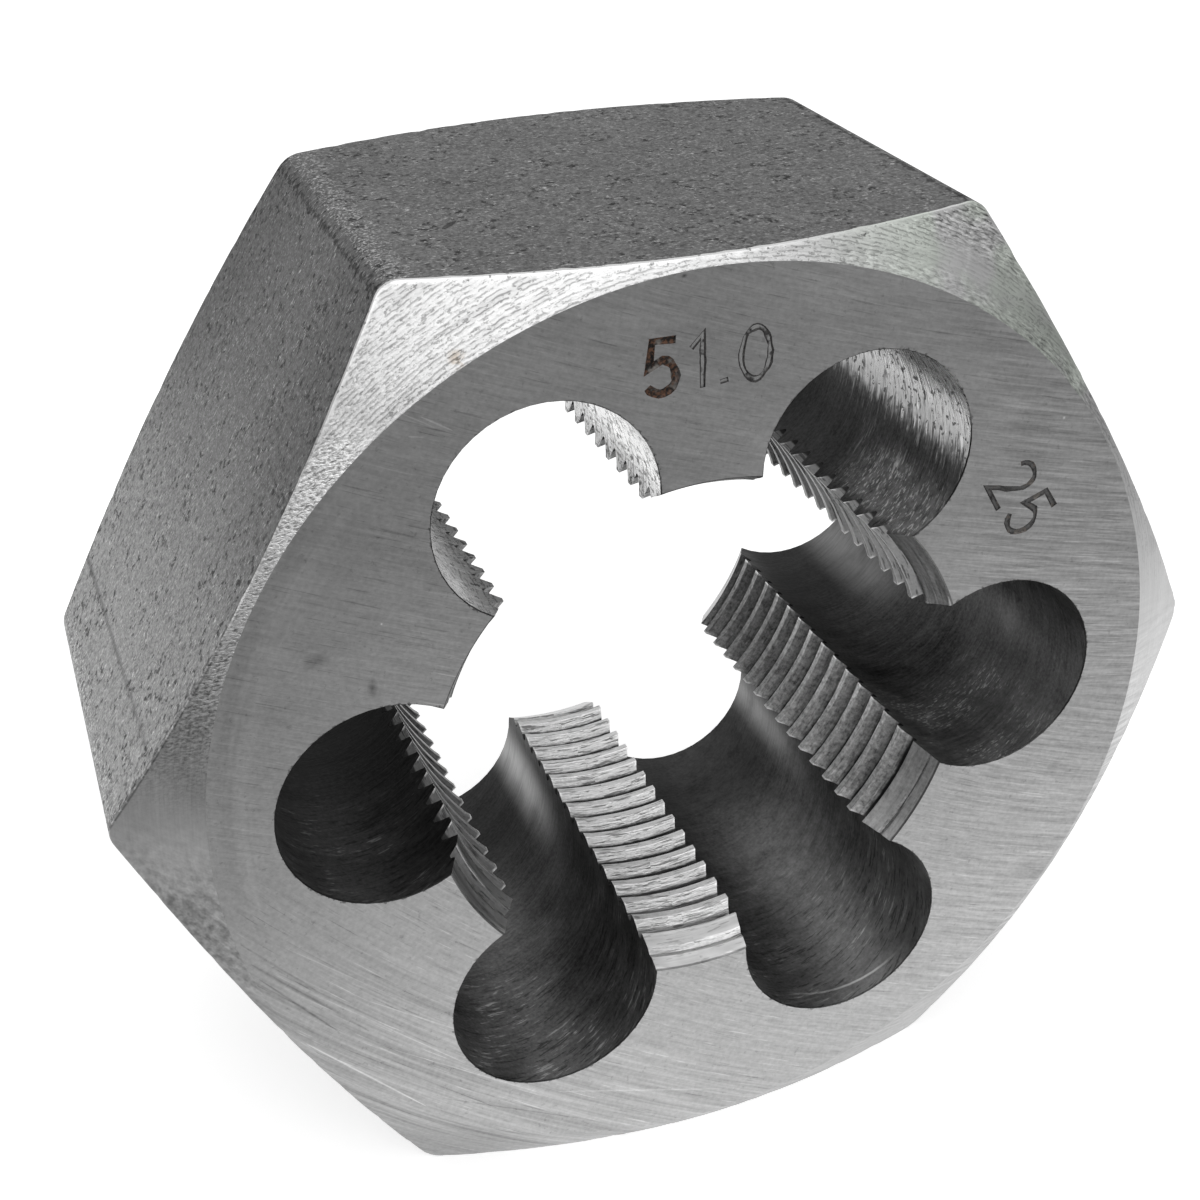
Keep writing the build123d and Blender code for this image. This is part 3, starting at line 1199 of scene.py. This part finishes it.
def ground_cone():
    """The lead-in cone: fine ground rings."""
    material, at, place, x, _, z = steel("Ground lead-in cone")
    sweep = cone_reach * at["Around"]
    fine = lines(sweep, at["Below Face"], 4.0, 0.12, 1.0)
    cloud = grit(place, 1.0, 2.0)
    torn = span(lines(sweep, at["Below Face"], 0.8, 0.09, 4.0), 0.3, 0.1)
    right = span(x, 5.0, 8.0)
    stipple = grit(place, 0.15, 6.0)
    shade = layered(0.5, (fine, 0.14), (cloud, 0.14), (stipple, 0.2 * right))
    shade += torn * (0.12 * right - 0.2)
    # Painted light on the bottom, which faces up
    shade += 0.2 * span(z, -8.0, -12.0)
    # Painted shade over the edge break at the mouths
    shade *= span(at["Below Face"], 0.04, 0.1, 0.3, 1.0)
    rough = layered(0.36, (fine, 0.1))
    height = layered(0.5, (fine, 0.8), (cloud, 0.3))
    return finished(material, shade, rough, height, 0.006 * mm)


def etched_stroke():
    """Strokes of the numbers: burnt black sides and a pale floor, rusted on the first digit."""
    material, at, place, x, _, z = steel("Etched strokes", metallic=0.5)
    grain = grit(place, 0.12, 1.0)
    cloud = grit(place, 0.4, 2.0)
    sunk = at["Below Face"] / (stroke_depth / mm)
    floor_share = span(sunk, 0.8, 1.0)
    first = span(x, -1.7, -2.0) * span(z, 18.0, 18.5)
    second = span(x, 9.0, 10.0)
    pale = floor_share * span(cloud, 0.15, 0.5) * (1 - 0.75 * second)
    burnt = tinted(grain, (0.012, 0.012, 0.013, 1), (0.09, 0.087, 0.085, 1))
    plain = tinted(pale, burnt, (0.3, 0.3, 0.3, 1))
    rust = tinted(span(grain, 0.3, 0.8), (0.012, 0.01, 0.009, 1), (0.12, 0.06, 0.036, 1))
    rust = tinted(span(cloud, 0.5, 0.9), rust, (0.14, 0.13, 0.12, 1))
    first = largest(first, second * span(cloud, 0.66, 0.8))
    rough = layered(0.6, (grain, 0.3))
    height = layered(0.5, (grain, 0.6), (cloud, 0.4))
    return finished(material, tinted(first, plain, rust), rough, height, 0.04 * mm)


materials = {
    "teeth": tapped_teeth(),
    "lead_in": ground_cone(),
    "holes": drilled_wall(),
    "face": ground_face(),
    "chamfer": turned_chamfer(),
    "flats": scaled_flat(),
    "strokes": etched_stroke(),
}


def hex_die():
    body = bpy.data.objects.new("hex_die_finished", die_mesh(materials))
    bpy.context.collection.objects.link(body)
    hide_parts("hex_die")
    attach(body, "root")
    return body


# The studio

# Mirrored in the steel, the floor is white under and behind the die and dims away from it.
front_dim = (15 * mm, 70 * mm)
left_dim = (5 * mm, 50 * mm)
right_dim = (60 * mm, 160 * mm)
dim_level = 0.29


def floor():
    """Plain pale floor, white to the camera, that keeps the die's shadow."""
    mesh = bpy.data.meshes.new("floor")
    reach = 3.0
    z = cad_low.z
    corners = [(-reach, -reach, z), (reach, -reach, z), (reach, reach, z), (-reach, reach, z)]
    mesh.from_pydata(corners, [], [(0, 1, 2, 3)])
    material = bpy.data.materials.new("Pale floor")
    material.use_nodes = True
    tree = material.node_tree
    tree.nodes.clear()
    seen = values_of(add(tree, "ShaderNodeLightPath"))
    x, y, _ = separate(values_of(add(tree, "ShaderNodeTexCoord"))["Object"])
    to_front = span(-y, *front_dim, 1.0, dim_level)
    to_left = span(-x, *left_dim, 1.0, dim_level)
    to_right = span(x, *right_dim, 1.0, 0.5)
    to_left = mixed(span(y, 0.0, 0.03), to_left, 1.0)
    mirrored = to_front * to_left * to_right
    glossy = seen["Is Glossy Ray"]
    paper = add(tree, "ShaderNodeBsdfDiffuse", {"Color": mixed(glossy, 0.8, mirrored * 0.4)})
    glow = mixed(glossy, 0.55 * seen["Is Camera Ray"], mirrored * 0.8)
    glow = add(tree, "ShaderNodeEmission", {"Strength": glow})
    both = add(tree, "ShaderNodeAddShader", {0: paper, 1: glow})
    add(tree, "ShaderNodeOutputMaterial", {"Surface": both})
    mesh.materials.append(material)
    ground = bpy.data.objects.new("floor", mesh)
    bpy.context.collection.objects.link(ground)
    return ground


def softbox(name, place, aim, size, power):
    """A rectangular lamp that shines from its place towards its aim."""
    lamp = bpy.data.lights.new(name, "AREA")
    lamp.shape = "RECTANGLE"
    lamp.size, lamp.size_y = size
    lamp.energy = power
    box = bpy.data.objects.new(name, lamp)
    box.location = place
    box.rotation_euler = (Vector(aim) - Vector(place)).to_track_quat("-Z", "Y").to_euler()
    box.visible_camera = False
    bpy.context.collection.objects.link(box)
    return box


def world():
    """White to the camera. The steel sees a dim room with a soft white ceiling."""
    room = bpy.data.worlds.new("Studio room")
    bpy.context.scene.world = room
    room.use_nodes = True
    tree = room.node_tree
    tree.nodes.clear()
    seen = values_of(add(tree, "ShaderNodeLightPath"))["Is Camera Ray"]
    _, _, up = separate(values_of(add(tree, "ShaderNodeTexCoord"))["Generated"])
    light = span(up, 0.25, 0.75, 0.32, 0.85)
    back = add(tree, "ShaderNodeBackground", {
        "Color": (1, 1, 1, 1), "Strength": mixed(seen, light, 1.0)})
    add(tree, "ShaderNodeOutputWorld", {"Surface": back})


def camera():
    data = bpy.data.cameras.new("Photographed view")
    data.sensor_width = 36.0
    data.lens = lens_mm
    data.shift_x, data.shift_y = frame_shift
    data.clip_start, data.clip_end = 0.01, 20.0
    eye = bpy.data.objects.new("Photographed view", data)
    bpy.context.collection.objects.link(eye)
    turn = Matrix.Rotation(-camera_right_turn, 4, "Z")
    tilt = Matrix.Rotation(math.pi / 2 - camera_down_turn, 4, "X")
    roll = Matrix.Rotation(camera_roll, 4, "Z")
    eye.matrix_world = Matrix.Translation(camera_place) @ turn @ tilt @ roll
    bpy.context.scene.camera = eye


hex_die()
floor()
softbox("Key softbox", (0.0, -0.37, 0.26), (0, 0, 0), (0.5, 0.26), 0.7)
world()
camera()
bpy.context.scene.view_settings.view_transform = "Standard"
